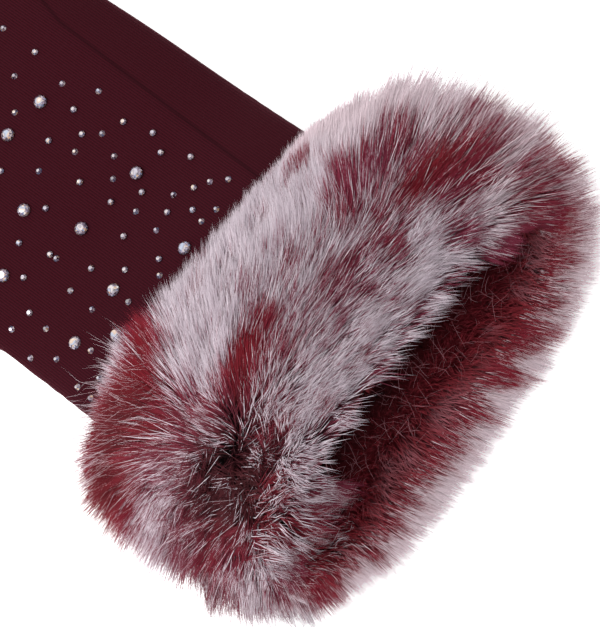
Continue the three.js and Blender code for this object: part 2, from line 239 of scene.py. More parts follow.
def piece_from(name, skins):
    """An object made of one or more skins, with its faces turned outward."""
    points, faces = [], []
    for some_points, some_faces in skins:
        start = len(points)
        points += some_points.tolist()
        faces += [tuple(start + i for i in face) for face in some_faces]
    mesh = bpy.data.meshes.new(name)
    mesh.from_pydata(points, [], faces)
    form = bmesh.new()
    form.from_mesh(mesh)
    bmesh.ops.recalc_face_normals(form, faces=form.faces[:])
    form.to_mesh(mesh)
    form.free()
    piece = bpy.data.objects.new(name, mesh)
    bpy.context.collection.objects.link(piece)
    return piece


def settle(piece):
    """Makes the result of a piece's modifiers its plain mesh."""
    graph = bpy.context.evaluated_depsgraph_get()
    mesh = bpy.data.meshes.new_from_object(piece.evaluated_get(graph))
    piece.modifiers.clear()
    piece.data = mesh


def points_of(mesh):
    """The mesh's points in millimetres and their outward directions, as arrays."""
    points = np.empty(len(mesh.vertices) * 3)
    mesh.vertices.foreach_get("co", points)
    normals = np.array([tuple(v.vector) for v in mesh.vertex_normals])
    return points.reshape(-1, 3) / MM, normals


def digit(taper, length, half, base, heading):
    """The skin of a finger or thumb from its taper."""
    rows = [
        (share * length, 0, width * half, max(low, 0), high, 0)
        for share, width, low, high in refined(taper, 4)
    ]
    return skin([section(row, base=base, heading=heading) for row in rows])


skins = [skin([section(row) for row in refined(HAND, 3)])]
for root, heading, tip, half in FINGERS:
    length = (tip - FINGER_ROOT) / math.cos(math.radians(heading))
    skins.append(digit(FINGER_TAPER, length, half, (root, FINGER_ROOT), heading))
skins.append(digit(THUMB_TAPER, THUMB_LENGTH, THUMB_HALF, THUMB_ROOT, THUMB_TURN))
hand_cloth = piece_from("hand_cloth", skins)
blend = hand_cloth.modifiers.new("one_skin", "REMESH")
blend.mode = "VOXEL"
blend.voxel_size = 1.8 * MM
soften = hand_cloth.modifiers.new("soften", "SMOOTH")
soften.factor = 0.5
soften.iterations = 5
settle(hand_cloth)

form = bmesh.new()
form.from_mesh(hand_cloth.data)
bmesh.ops.bisect_plane(
    form,
    geom=form.verts[:] + form.edges[:] + form.faces[:],
    plane_co=(0, WRIST_END * MM, 0),
    plane_no=(0, -1, 0),
    clear_outer=True,
)
form.to_mesh(hand_cloth.data)
form.free()


def distance_to(points, line):
    """How far each point lies, in plan, from a line of straight stretches."""
    nearest = np.full(len(points), 1e9)
    for start, end in zip(line[:-1], line[1:]):
        start, stretch = np.array(start), np.subtract(end, start)
        share = np.clip((points[:, :2] - start) @ stretch / (stretch @ stretch), 0, 1)
        gaps = points[:, :2] - start - share[:, None] * stretch
        nearest = np.minimum(nearest, np.linalg.norm(gaps, axis=1))
    return nearest


def clouds(points, size):
    """A smooth random number at each point, in puffs of so many millimetres, or of one size per direction."""
    return np.array([noise.noise(Vector(p)) for p in points / size])


points, normals = points_of(hand_cloth.data)
x, y, z = points.T
seam_x = np.interp(y, [row[1] for row in TOP_SEAM], [row[0] for row in TOP_SEAM])
seam_z = np.interp(y, HAND[:, 0], HAND[:, 3] + SEAM_SHARE * (HAND[:, 4] - HAND[:, 3]))
upper = z > seam_z
from_seam = distance_to(points, TOP_SEAM)
on_top = np.exp(-(from_seam / 1.1) ** 2) * upper
on_side = np.exp(-(z - seam_z + 0.6) ** 2) * (np.abs(normals[:, 2]) < 0.75) * (x < seam_x - 3)
seam_gap = np.where(upper, np.clip(from_seam, 0, 6) * np.where(x > seam_x, 1, -1), 6.0)
# The empty cloth ripples a little, is drawn in along its seams and lies raised beside the one on top.
rise = 0.35 * clouds(points, (26, 34, 26)) - 0.4 * np.maximum(on_top, on_side)
rise += 0.18 * np.exp(-((from_seam - 2.6) / 1.4) ** 2) * upper
points += normals * rise[:, None]
points[:, :2] += normals[:, :2] * LET_OUT
points[:, 2] = np.maximum(points[:, 2], FLOOR_GAP)
hand_cloth.data.vertices.foreach_set("co", (points * MM).ravel())
thumb_along = np.array([math.sin(math.radians(THUMB_TURN)), math.cos(math.radians(THUMB_TURN))])
from_thumb = points[:, :2] - np.array(THUMB_ROOT)
on_thumb = (from_thumb @ thumb_along > 34) & (x < -47)
wale = np.where(on_thumb, from_thumb @ np.array([thumb_along[1], -thumb_along[0]]), x)
cloth_traits = {"seam": on_side, "seam_gap": seam_gap, "wale": wale, "strip": (x > seam_x).astype(float)}
for name, values in cloth_traits.items():
    trait = hand_cloth.data.attributes.new(name, "FLOAT", "POINT")
    trait.data.foreach_set("value", values.astype(np.float32))
hand_cloth.data.shade_smooth()
outer_cloth = BVHTree.FromPolygons(
    [tuple(p) for p in points * MM],
    [tuple(face.vertices) for face in hand_cloth.data.polygons],
)

MATHS = "ShaderNodeMath"
MAP = "ShaderNodeMapRange"
TRAIT = "ShaderNodeAttribute"
jersey, tree = empty_finish("brushed_polyester_jersey")
# Fine knitted wales run the way of the fingers. The real ones look about half as wide, too fine for the
# picture, so they are drawn coarser, with painted shade between them. The brushed nap gives a soft magenta
# bloom where the cloth turns away, and the seams are thin dark lines of painted shade in their grooves, with a
# slightly raised lip beside the one on top.
WALE_WIDTH = 0.75
wale_place, seam_place, strip_place, gap = (
    add(tree, TRAIT, attribute_name=name).outputs["Fac"] for name in ("wale", "seam", "strip", "seam_gap")
)
ribs = add(tree, MATHS, {0: wale_place, 1: 2 * math.pi / WALE_WIDTH}, operation="MULTIPLY")
wave = add(tree, MATHS, {0: ribs}, operation="SINE")
nap = add(tree, NOISE, {"Scale": 2.6 / MM, "Detail": 3.0})
mottle = add(tree, NOISE, {"Scale": 0.16 / MM, "Detail": 4.0, "Roughness": 0.6})
# Painted shade: lighter on the wales and darker in the grooves between them.
rib_shade = add(tree, MAP, {0: wave, 1: -1.0, 2: 1.0, 3: -0.3, 4: 0.4})
nap_and_rib_shade = add(tree, MATHS, {0: nap, 1: rib_shade}, operation="ADD")
yarn_and_rib_shade = add(tree, MIX, {0: nap_and_rib_shade, 6: linear("#1d050a"), 7: linear("#3d0e18")}, data_type="RGBA")
worn = add(tree, MAP, {0: mottle, 1: 0.35, 2: 0.7, 3: 0.0, 4: 0.4})
dusted = add(tree, MIX, {0: worn, 6: yarn_and_rib_shade, 7: linear("#351019")}, data_type="RGBA")
browned = add(tree, MATHS, {0: strip_place, 1: 0.25}, operation="MULTIPLY")
strip_tone = add(tree, MIX, {0: browned, 6: dusted, 7: linear("#2c0a10")}, data_type="RGBA")
near_seam = add(tree, MATHS, {0: gap}, operation="ABSOLUTE")
line = add(tree, MAP, {0: near_seam, 1: 0.1, 2: 0.9, 3: 1.0, 4: 0.0}, interpolation_type="SMOOTHSTEP")
# Painted shade in the grooves of the side seam and the seam on top.
seam_shade = add(tree, MATHS, {0: seam_place, 1: line}, operation="MAXIMUM")
seam_shade = add(tree, MATHS, {0: seam_shade, 1: 0.42}, operation="MULTIPLY")
cloth_tone = add(tree, MIX, {0: seam_shade, 6: strip_tone, 7: linear("#170408")}, data_type="RGBA")
knit = add(tree, "ShaderNodeBump", {"Height": wave, "Strength": 0.4, "Distance": 0.08 * MM})
fuzz = add(tree, "ShaderNodeBump", {"Height": nap, "Strength": 0.5, "Distance": 0.12 * MM, "Normal": knit})
surface = add(tree, "ShaderNodeBsdfPrincipled", {
    "Base Color": cloth_tone,
    "Normal": fuzz,
    "Roughness": 0.95,
    "Specular IOR Level": 0.06,
    "Sheen Weight": 0.3,
    "Sheen Roughness": 0.3,
    "Sheen Tint": linear("#ac4560"),
})
add(tree, "ShaderNodeOutputMaterial", {"Surface": surface})
hand_cloth.data.materials.append(jersey)
doubled = hand_cloth.modifiers.new("doubled_cloth", "SOLIDIFY")
doubled.thickness = CLOTH_THICKNESS
doubled.offset = -1
settle(hand_cloth)
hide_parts("back_panel", "palm_panel", "thumb_back", "thumb_palm")
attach(hand_cloth, "root")

# Stones
# Flat-backed cut glass, 4 mm and 2 mm across, with a foiled back and a rainbow coating, glued on the back of
# the hand. The solids of the frame stay, and the rest of the small ones are set here in the same way.
VECTOR = "ShaderNodeVectorMath"
NAMED = "GeometryNodeInputNamedAttribute"
cut_glass, tree = empty_finish("coated_cut_glass")
# The flat top gets a painted white highlight, and each facet round it a painted reflection in its own tint:
# mostly grey and lilac, here and there cream, amber, plum or pale blue, with painted shade the steeper it
# stands.
place = add(tree, "ShaderNodeTexCoord").outputs["Object"]
facet = add(tree, "ShaderNodeNewGeometry").outputs["True Normal"]
own = add(tree, VECTOR, {0: place, 3: 0.26 / MM}, operation="SCALE")
turned = add(tree, VECTOR, {0: facet, 3: 2.7}, operation="SCALE")
both = add(tree, VECTOR, {0: own, 1: turned}, operation="ADD")
flash = add(tree, NOISE, {"Vector": both, "Scale": 1.0, "Detail": 1.0})
reflection_tints = add(tree, "ShaderNodeValToRGB", {0: flash})
ramp = reflection_tints.color_ramp
ramp.elements[0].position = 0.3
ramp.elements[0].color = linear("#3a2430")
ramp.elements[1].position = 0.75
ramp.elements[1].color = linear("#ffffff")
for position, colour in (
    (0.38, "#6d5c70"),
    (0.43, "#b5abbd"),
    (0.47, "#6f5a72"),
    (0.52, "#d9c9c4"),
    (0.56, "#574870"),
    (0.61, "#8fa5c6"),
    (0.66, "#c99a6c"),
):
    ramp.elements.new(position).color = linear(colour)
level = add(tree, "ShaderNodeSeparateXYZ", {0: facet}).outputs["Z"]
flat = add(tree, MAP, {0: level, 1: 0.78, 2: 0.93})
steep_shade = add(tree, MAP, {0: level, 1: 0.1, 2: 0.8, 3: 0.6, 4: 0.0})
facet_reflections = add(tree, MIX, {0: steep_shade, 6: reflection_tints, 7: linear("#2a1a22")}, data_type="RGBA")
table_highlight = add(tree, MATHS, {0: flat, 1: 0.28}, operation="MULTIPLY")
facet_reflections = add(tree, MIX, {0: table_highlight, 6: facet_reflections, 7: linear("#ffffff")}, data_type="RGBA")
surface = add(tree, "ShaderNodeBsdfPrincipled", {
    "Base Color": facet_reflections,
    "Metallic": 0.55,
    "Roughness": 0.12,
    "IOR": 1.56,
    "Coat Weight": 0.5,
    "Coat Roughness": 0.03,
})
add(tree, "ShaderNodeOutputMaterial", {"Surface": surface})
for name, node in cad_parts.items():
    if name.startswith("stone_"):
        if not node.material_slots:
            node.data.materials.append(cut_glass)
        for held in node.material_slots:
            held.material = cut_glass

# Small stones that are only in this scene, as (across, along). Those past the picture's edge are guessed.
SMALL_STONES = (
    (25.7, 41.3), (16.2, 29.1), (7.7, 22.2), (22.3, 15.3), (-2.0, 5.1), (26.5, 4.5), (8.4, -0.7),
    (17.1, -4.3), (13.8, -11.5), (-19.3, -15.2), (8.4, -15.3), (-43.1, -15.6), (-37.1, -24.9),
    (-46.5, -25.3), (4.6, -27.3), (-42.2, -33.2), (-24.9, -34.3), (14.5, -34.4), (3.6, -36.6),
    (-34.4, -41.8), (23.3, -42.0), (-44.8, -44.4), (-6.1, -46.5), (12.9, -47.5), (-39.1, -49.3),
    (18.0, -49.3), (-45.0, -50.2), (-39.1, -57.7), (-14.5, 12.0), (-29.0, 9.5), (-43.0, 0.5), (-5.5, 24.5),
    (-30.5, 19.0), (-12.0, 33.5), (13.5, 36.0), (-40.5, 24.5), (24.0, 50.5), (-3.0, 50.0), (-26.0, 36.5),
    (11.0, 53.0), (-15.5, 45.5), (-35.5, 35.0), (1.0, 31.5),
)
STONE_RADIUS = 1.0 * MM
STONE_HEIGHT = 0.8 * MM
GLUE = 0.05 * MM
seats, headings = [], []
for stone_x, stone_y in SMALL_STONES:
    seat, facing, _, _ = outer_cloth.ray_cast(Vector((stone_x, stone_y, 100)) * MM, Vector((0, 0, -1)))
    seats.append(seat + facing * GLUE)
    headings.append(facing)
mesh = bpy.data.meshes.new("small_stones")
mesh.from_pydata(seats, [], [])
mesh.attributes.new("facing", "FLOAT_VECTOR", "POINT").data.foreach_set("vector", np.array(headings).ravel())
small_stones = bpy.data.objects.new("small_stones", mesh)
bpy.context.collection.objects.link(small_stones)

tree = bpy.data.node_groups.new("stones_on_cloth", "GeometryNodeTree")
tree.is_modifier = True
tree.interface.new_socket("Geometry", in_out="INPUT", socket_type="NodeSocketGeometry")
radius_input = tree.interface.new_socket("Radius", in_out="INPUT", socket_type="NodeSocketFloat")
height_input = tree.interface.new_socket("Height", in_out="INPUT", socket_type="NodeSocketFloat")
tree.interface.new_socket("Geometry", in_out="OUTPUT", socket_type="NodeSocketGeometry")
given = add(tree, "NodeGroupInput").outputs
table_radius = add(tree, MATHS, {0: given["Radius"], 1: 0.45}, operation="MULTIPLY")
stone = add(tree, "GeometryNodeMeshCone", {
    "Vertices": 8,
    "Radius Top": table_radius,
    "Radius Bottom": given["Radius"],
    "Depth": given["Height"],
}, fill_type="NGON")
facing = add(tree, NAMED, {"Name": "facing"}, data_type="FLOAT_VECTOR")
level = add(tree, "FunctionNodeAlignRotationToVector", {"Vector": facing}, axis="Z")
points_only = add(tree, "GeometryNodeMeshToPoints", {"Mesh": given["Geometry"]})
strewn = add(tree, "GeometryNodeInstanceOnPoints", {
    "Points": points_only,
    "Instance": stone,
    "Rotation": level,
})
real = add(tree, "GeometryNodeRealizeInstances", {"Geometry": strewn})
finished = add(tree, "GeometryNodeSetMaterial", {"Geometry": real, "Material": cut_glass})
add(tree, "NodeGroupOutput", {"Geometry": finished})
setting = small_stones.modifiers.new("set", "NODES")
setting.node_group = tree
setting[radius_input.identifier] = STONE_RADIUS
setting[height_input.identifier] = STONE_HEIGHT
settle(small_stones)
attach(small_stones, "root")

# Cuff's backing and underfur
# The wide cuff is knitted fur fabric: a backing sleeve with a short, dense, deep burgundy underfur that the
# long pile grows out of. The backing is sewn to the glove's wrist and turned in at the mouth.

# Cross-sections of the inside of the backing.
BACKING = np.array([
    (-61.8, 0, 48.4, 11, 25, 0),
    (-74, 1.6, 50.6, 10.2, 27.6, 1.5),
    (-90, 4, 53, 9.8, 31, 6),
    (-105, 6, 55, 9.6, 34, 10),
    (-118, 7.5, 56.4, 9.4, 36.4, 14),
])
CUFF_SIDES = 96
UNDERFUR = 6.5  # thickness of the underfur


def sleeve(places, squareness=3.0, sides=CUFF_SIDES):
    """Rings round the backing, each from its place along the glove and how far outside the backing it is."""
    rings = []
    for along, out in places:
        row = np.array([np.interp(-along, -BACKING[:, 0], column) for column in BACKING.T])
        row[0] = along
        row[2] += out
        row[3] = max(0.3, row[3] - out)
        row[4] += out
        rings.append(section(row, sides, squareness))
    return rings


outer_places = []
for along in np.linspace(-61.0, -119.5, 34):
    rounded = min(1.0, math.sqrt(max(0.0, min(-60.6 - along, along + 120.0)) / 5.0))
    outer_places.append((along, UNDERFUR * rounded + 0.2))
outer = sleeve(outer_places, 2.8)
inner = sleeve([(along, 0.0) for along in np.linspace(-119.5, -61.0, 12)])
cuff_underfur = piece_from("cuff_underfur", [skin(outer + inner, looped=True)])
points, normals = points_of(cuff_underfur.data)
bumps = np.array([noise.fractal(Vector(p / 5.0), 0.8, 2.0, 3) for p in points])
outside = np.arange(len(points)) < len(outer) * CUFF_SIDES
points += normals * (1.1 * bumps * outside)[:, None]
points[:, 2] = np.maximum(points[:, 2], FLOOR_GAP)
cuff_underfur.data.vertices.foreach_set("co", (points * MM).ravel())
cuff_underfur.data.shade_smooth()

underfur, tree = empty_finish("dense_acrylic_underfur")
# Short crimped fibres packed close together, deep burgundy with painted shade: nearly black in the depths,
# redder on the little tufts.
tufts = add(tree, NOISE, {"Scale": 0.42 / MM, "Detail": 5.0, "Roughness": 0.65, "Distortion": 1.2})
clumps = add(tree, "ShaderNodeTexVoronoi", {"Scale": 0.33 / MM}, feature="F1")
depth = add(tree, MATHS, {0: tufts, 1: clumps}, operation="SUBTRACT")
lit = add(tree, MAP, {0: depth, 1: 0.0, 2: 0.55})
tone = add(tree, MIX, {0: lit, 6: linear("#1c0509"), 7: linear("#5a1320")}, data_type="RGBA")
relief = add(tree, "ShaderNodeBump", {"Height": depth, "Strength": 0.9, "Distance": 1.2 * MM})
surface = add(tree, "ShaderNodeBsdfPrincipled", {
    "Base Color": tone,
    "Normal": relief,
    "Roughness": 0.85,
    "Specular IOR Level": 0.25,
    "Sheen Weight": 0.3,
    "Sheen Roughness": 0.4,
    "Sheen Tint": linear("#a04a5c"),
})
add(tree, "ShaderNodeOutputMaterial", {"Surface": surface})
cuff_underfur.data.materials.append(underfur)
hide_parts("cuff_fur")
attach(cuff_underfur, "root")

# Long pile of the cuff
# Crimped acrylic guard hairs about 24 mm long, burgundy from the root and frosted to a pale lilac at the tip.
# They lie over from the pile's parting toward the glove, the sides and the mouth, and gather in tufts.
HAIR_SHINE = {"Roughness": 0.6, "Specular IOR Level": 0.2, "IOR": 1.5}
acrylic, tree = empty_finish("frosted_acrylic_guard_hair")
# A strand is dark at its root, partly its burgundy and partly painted shade from the coat over it, glows red
# along its middle and ends in a pale frosted tip that starts at its own height, so that the surface looks
# snowed on and the partings show red. Flush turns plum into a clearer red, painted shade darkens it where one
# looks down into the pile, and round the outline the frosting is pinker, and lighter with painted light from
# the white floor coming through the thin ends.
along, snow, flush, painted_shade, backlit_pink, side = (
    add(tree, TRAIT, attribute_name=name).outputs["Fac"]
    for name in ("along", "snow", "flush", "painted_shade", "backlit_pink", "side")
)
pick = add(tree, TRAIT, attribute_name="pick").outputs["Vector"]
picks = add(tree, "ShaderNodeSeparateXYZ", {0: pick}).outputs
own_line = add(tree, MAP, {0: picks["X"], 3: -0.17, 4: 0.17})
stray = add(tree, MATHS, {0: picks["Z"], 1: 0.94}, operation="GREATER_THAN")
stray_line = add(tree, MATHS, {0: stray, 1: -0.8}, operation="MULTIPLY")
own_line = add(tree, MATHS, {0: own_line, 1: stray_line}, operation="ADD")
snow_line = add(tree, MATHS, {0: snow, 1: own_line}, operation="ADD")
past = add(tree, MATHS, {0: along, 1: snow_line}, operation="SUBTRACT")
frost = add(tree, MAP, {0: past, 1: -0.06, 2: 0.12}, interpolation_type="SMOOTHSTEP")
# Both reds darken toward the root, partly the burgundy itself and partly painted shade from the coat over it.
risen = add(tree, MAP, {0: along, 1: 0.1, 2: 0.8})
plum = add(tree, MIX, {0: risen, 6: linear("#26070d"), 7: linear("#8c3049")}, data_type="RGBA")
risen = add(tree, MAP, {0: along, 1: 0.15, 2: 0.95})
red = add(tree, MIX, {0: risen, 6: linear("#2e060b"), 7: linear("#ac1e2f")}, data_type="RGBA")
red = add(tree, MIX, {0: flush, 6: plum, 7: red}, data_type="RGBA")
# Painted shade, where one looks down into the pile or a shadow falls.
red = add(tree, MIX, {0: painted_shade, 6: red, 7: linear("#2b080d")}, data_type="RGBA")
pale = add(tree, MIX, {0: picks["Y"], 6: linear("#dfcdd9"), 7: linear("#f8eaf3")}, data_type="RGBA")
pinked = add(tree, MATHS, {0: backlit_pink, 1: 0.8}, operation="MULTIPLY")
pale = add(tree, MIX, {0: pinked, 6: pale, 7: linear("#ffe6ed")}, data_type="RGBA")
hair = add(tree, MIX, {0: frost, 6: red, 7: pale}, data_type="RGBA")
# A strand stands for a few hairs, so it gets painted shade along one side, like the shade in the gap beside
# them.
gap_shade = add(tree, MAP, {0: backlit_pink, 3: 0.4, 4: 0.12})
shaded = add(tree, MAP, {0: side, 1: -0.5, 2: 1.0, 3: 0.0, 4: gap_shade})
hair = add(tree, MIX, {0: shaded, 6: hair, 7: linear("#4c0f22")}, data_type="RGBA")
# Light wanders between the strands, so that each is lit partly as itself and partly as the coat it is in. The
# white floor's light comes through the thin ends round the outline, which are partly lit as if they faced up.
faced = add(tree, "ShaderNodeNewGeometry").outputs["Normal"]
coat = add(tree, TRAIT, attribute_name="rise").outputs["Vector"]
soft = add(tree, MIX, {0: 0.62, 4: faced, 5: coat}, data_type="VECTOR")
through = add(tree, MATHS, {0: backlit_pink, 1: 0.5}, operation="MULTIPLY")
soft = add(tree, MIX, {0: through, 4: soft, 5: (0, 0, 1)}, data_type="VECTOR")
soft = add(tree, VECTOR, {0: soft}, operation="NORMALIZE")
surface = add(tree, "ShaderNodeBsdfPrincipled", {"Base Color": hair, "Normal": soft, **HAIR_SHINE})
add(tree, "ShaderNodeOutputMaterial", {"Surface": surface})

# What one growth of strands can be told, with the usual values. Widths and sizes are in metres, the density
# is in strands per square metre, and the rest are shares and counts.
USUAL = {
    "density": 0.0,
    "strand_width": 0.34 * MM,
    "length": 1.0,
    "tuft_size": 3.6 * MM,
    "lock_size": 14 * MM,
    "gather": 0.28,
    "lock_sway": 0.22,
    "tuft_sway": 0.3,
    "own_sway": 0.34,
    "shortest_strand": 0.64,
    "shortest_tuft": 0.9,
    "frayed_longest": 1.05,
    "tuft_tone": 0.16,
    "segments": 1,
    "seed": 1,
    "finish": acrylic,
}
# How much of a strand's way is outward and how much along the coat, each at its root and at its tip.
OUTWARD = (0.9, 0.56)
ALONG_COAT = (0.45, 0.78)
STORED = "GeometryNodeStoreNamedAttribute"
pile = bpy.data.node_groups.new("pile", "GeometryNodeTree")
pile.is_modifier = True
pile.interface.new_socket("Geometry", in_out="INPUT", socket_type="NodeSocketGeometry")
pile_inputs = {}
for name, usual in USUAL.items():
    kind = {float: "NodeSocketFloat", int: "NodeSocketInt"}.get(type(usual), "NodeSocketMaterial")
    pile_inputs[name] = pile.interface.new_socket(name, in_out="INPUT", socket_type=kind).identifier
pile.interface.new_socket("Geometry", in_out="OUTPUT", socket_type="NodeSocketGeometry")
tree = pile
given = add(tree, "NodeGroupInput").outputs
fill, reach, curl, fray, snow = (
    add(tree, NAMED, {"Name": name}, data_type="FLOAT") for name in ("fill", "reach", "curl", "fray", "snow")
)
root, rise, lie, pick = (
    add(tree, NAMED, {"Name": name}, data_type="FLOAT_VECTOR") for name in ("root", "rise", "lie", "pick")
)
# Roots are strewn over the sleeve. Each keeps its place, its outward direction and three numbers of its own.
density = add(tree, MATHS, {0: fill, 1: given["density"]}, operation="MULTIPLY")
roots = add(tree, "GeometryNodeDistributePointsOnFaces", {
    "Mesh": given["Geometry"],
    "Density": density,
    "Seed": given["seed"],
}, distribute_method="RANDOM")
place = add(tree, "GeometryNodeInputPosition")
own = add(tree, "FunctionNodeRandomValue", {"Seed": given["seed"]}, data_type="FLOAT_VECTOR")
vectors_kept = {"data_type": "FLOAT_VECTOR", "domain": "POINT"}
strewn = roots
for name, value in (("root", place), ("rise", roots.outputs["Normal"]), ("pick", own)):
    strewn = add(tree, STORED, {"Geometry": strewn, "Name": name, "Value": value}, **vectors_kept)
spike = add(tree, "GeometryNodeMeshCone", {
    "Vertices": 3,
    "Side Segments": given["segments"],
    "Radius Top": 0.0,
    "Radius Bottom": 1.0,
    "Depth": 1.0,
}, fill_type="NGON")
strewn = add(tree, "GeometryNodeInstanceOnPoints", {"Points": strewn, "Instance": spike})
real = add(tree, "GeometryNodeRealizeInstances", {"Geometry": strewn})
# On the real strands: where a point is along its strand, and where round it.
local = add(tree, VECTOR, {0: place, 1: root}, operation="SUBTRACT")
parts = add(tree, "ShaderNodeSeparateXYZ", {0: local}).outputs
picks = add(tree, "ShaderNodeSeparateXYZ", {0: pick}).outputs
along = parts["Z"]
# Two sizes of gathering: small tufts inside larger locks. Each has its own lean, and each tuft its own length.
cells, pulls = [], []
for size in ("tuft_size", "lock_size"):
    scale = add(tree, MATHS, {0: 1.0, 1: given[size]}, operation="DIVIDE")
    cells.append(add(tree, "ShaderNodeTexVoronoi", {"Vector": root, "Scale": scale}, feature="F1").outputs)
    pulls.append(add(tree, VECTOR, {0: cells[-1]["Position"], 1: root}, operation="SUBTRACT"))
tuft, lock = cells
tuft_pull, lock_pull = pulls
lock_pull = add(tree, VECTOR, {0: lock_pull, 3: 0.6}, operation="SCALE")
pull = add(tree, VECTOR, {0: tuft_pull, 1: lock_pull}, operation="ADD")
outward = add(tree, VECTOR, {0: pull, 1: rise}, operation="DOT_PRODUCT")
outward = add(tree, VECTOR, {0: rise, 3: outward}, operation="SCALE")
pull = add(tree, VECTOR, {0: pull, 1: outward}, operation="SUBTRACT")
gather = add(tree, MATHS, {0: along, 1: 1.4}, operation="POWER")
looser = add(tree, MAP, {0: fray, 3: 1.0, 4: 0.45})
for factor in (given["gather"], looser):
    gather = add(tree, MATHS, {0: gather, 1: factor}, operation="MULTIPLY")
pull = add(tree, VECTOR, {0: pull, 3: gather}, operation="SCALE")
sway = (0.0, 0.0, 0.0)
for turned, size in ((tuft["Color"], "tuft_sway"), (lock["Color"], "lock_sway"), (pick, "own_sway")):
    turned = add(tree, VECTOR, {0: turned, 1: (0.5, 0.5, 0.5)}, operation="SUBTRACT")
    turned = add(tree, VECTOR, {0: turned, 3: given[size]}, operation="SCALE")
    sway = add(tree, VECTOR, {0: sway, 1: turned}, operation="ADD")
# A strand leaves the backing steeply and lies over more and more toward its tip.
way = []
for direction, (at_root, at_tip) in ((rise, OUTWARD), (lie, ALONG_COAT)):
    share = add(tree, MAP, {0: along, 3: at_root, 4: at_tip})
    way.append(add(tree, VECTOR, {0: direction, 3: share}, operation="SCALE"))
way = add(tree, VECTOR, {0: way[0], 1: way[1]}, operation="ADD")
way = add(tree, VECTOR, {0: way, 1: sway}, operation="ADD")
way = add(tree, VECTOR, {0: way}, operation="NORMALIZE")
# Where the coat ends in the open it frays: lengths differ more, and the tips are finer and gather less.
frayed = add(tree, MATHS, {0: fray, 1: -0.3}, operation="MULTIPLY")
shortest = add(tree, MATHS, {0: frayed, 1: given["shortest_strand"]}, operation="ADD")
longest = add(tree, MAP, {0: fray, 3: 1.05, 4: given["frayed_longest"]})
length = add(tree, MAP, {0: picks["X"], 3: shortest, 4: longest})
tuft_picks = add(tree, "ShaderNodeSeparateXYZ", {0: tuft["Color"]}).outputs
tuft_length = add(tree, MAP, {0: tuft_picks["X"], 3: given["shortest_tuft"], 4: 1.0})
for factor in (tuft_length, given["length"], reach):
    length = add(tree, MATHS, {0: length, 1: factor}, operation="MULTIPLY")
so_far = add(tree, MATHS, {0: length, 1: along}, operation="MULTIPLY")
run = add(tree, VECTOR, {0: way, 3: so_far}, operation="SCALE")
spot = add(tree, VECTOR, {0: root, 1: run}, operation="ADD")
# The crimp: strands of a tuft wander together, more where the pile is tangled.
crimp = add(tree, NOISE, {"Vector": spot, "Scale": 0.11 / MM, "Detail": 2.0}).outputs["Color"]
crimp = add(tree, VECTOR, {0: crimp, 1: (0.5, 0.5, 0.5)}, operation="SUBTRACT")
crimp_size = add(tree, MATHS, {0: along, 1: 2.0}, operation="POWER")
for factor in (curl, length):
    crimp_size = add(tree, MATHS, {0: crimp_size, 1: factor}, operation="MULTIPLY")
crimp = add(tree, VECTOR, {0: crimp, 3: crimp_size}, operation="SCALE")
# The strand's thickness, fullest at the root and fine at the tip.
left_over = add(tree, MATHS, {0: 1.001, 1: along}, operation="SUBTRACT")
fineness = add(tree, MAP, {0: fray, 3: -0.45, 4: -0.22})
half_width = add(tree, MATHS, {0: left_over, 1: fineness}, operation="POWER")
own_width = add(tree, MAP, {0: picks["Y"], 3: 0.7, 4: 1.25})
for factor in (own_width, given["strand_width"], 0.5):
    half_width = add(tree, MATHS, {0: half_width, 1: factor}, operation="MULTIPLY")
first = add(tree, VECTOR, {0: way, 1: (0.36, 0.48, 0.8)}, operation="CROSS_PRODUCT")
first = add(tree, VECTOR, {0: first}, operation="NORMALIZE")
second = add(tree, VECTOR, {0: way, 1: first}, operation="CROSS_PRODUCT")
first = add(tree, VECTOR, {0: first, 3: parts["X"]}, operation="SCALE")
second = add(tree, VECTOR, {0: second, 3: parts["Y"]}, operation="SCALE")
round_it = add(tree, VECTOR, {0: first, 1: second}, operation="ADD")
round_it = add(tree, VECTOR, {0: round_it, 3: half_width}, operation="SCALE")
for shift in (pull, crimp):
    spot = add(tree, VECTOR, {0: spot, 1: shift}, operation="ADD")
# Strands that would pass through the floor lie on it.
spots = add(tree, "ShaderNodeSeparateXYZ", {0: spot}).outputs
lowest = add(tree, MAP, {0: picks["Z"], 3: 0.3 * MM, 4: 2.2 * MM})
height = add(tree, MATHS, {0: spots["Z"], 1: lowest}, operation="MAXIMUM")
spot = add(tree, "ShaderNodeCombineXYZ", {0: spots["X"], 1: spots["Y"], 2: height})
spot = add(tree, VECTOR, {0: spot, 1: round_it}, operation="ADD")
# Tufts also differ in how far down their frosting comes.
tuft_snow = add(tree, MATHS, {0: tuft_picks["Y"], 1: 0.5}, operation="SUBTRACT")
tuft_snow = add(tree, MATHS, {0: tuft_snow, 1: given["tuft_tone"]}, operation="MULTIPLY")
snow = add(tree, MATHS, {0: snow, 1: tuft_snow}, operation="ADD")
numbers_kept = {"data_type": "FLOAT", "domain": "POINT"}
grown = real
for name, value in (("along", along), ("side", parts["X"]), ("snow", snow)):
    grown = add(tree, STORED, {"Geometry": grown, "Name": name, "Value": value}, **numbers_kept)
grown = add(tree, "GeometryNodeSetPosition", {"Geometry": grown, "Position": spot})
for name in ("root", "lie", "reach", "curl", "fill", "fray"):
    grown = add(tree, "GeometryNodeRemoveAttribute", {"Geometry": grown, "Name": name})
smooth = add(tree, "GeometryNodeSetShadeSmooth", {"Geometry": grown})
finished = add(tree, "GeometryNodeSetMaterial", {"Geometry": smooth, "Material": given["finish"]})
add(tree, "NodeGroupOutput", {"Geometry": finished})


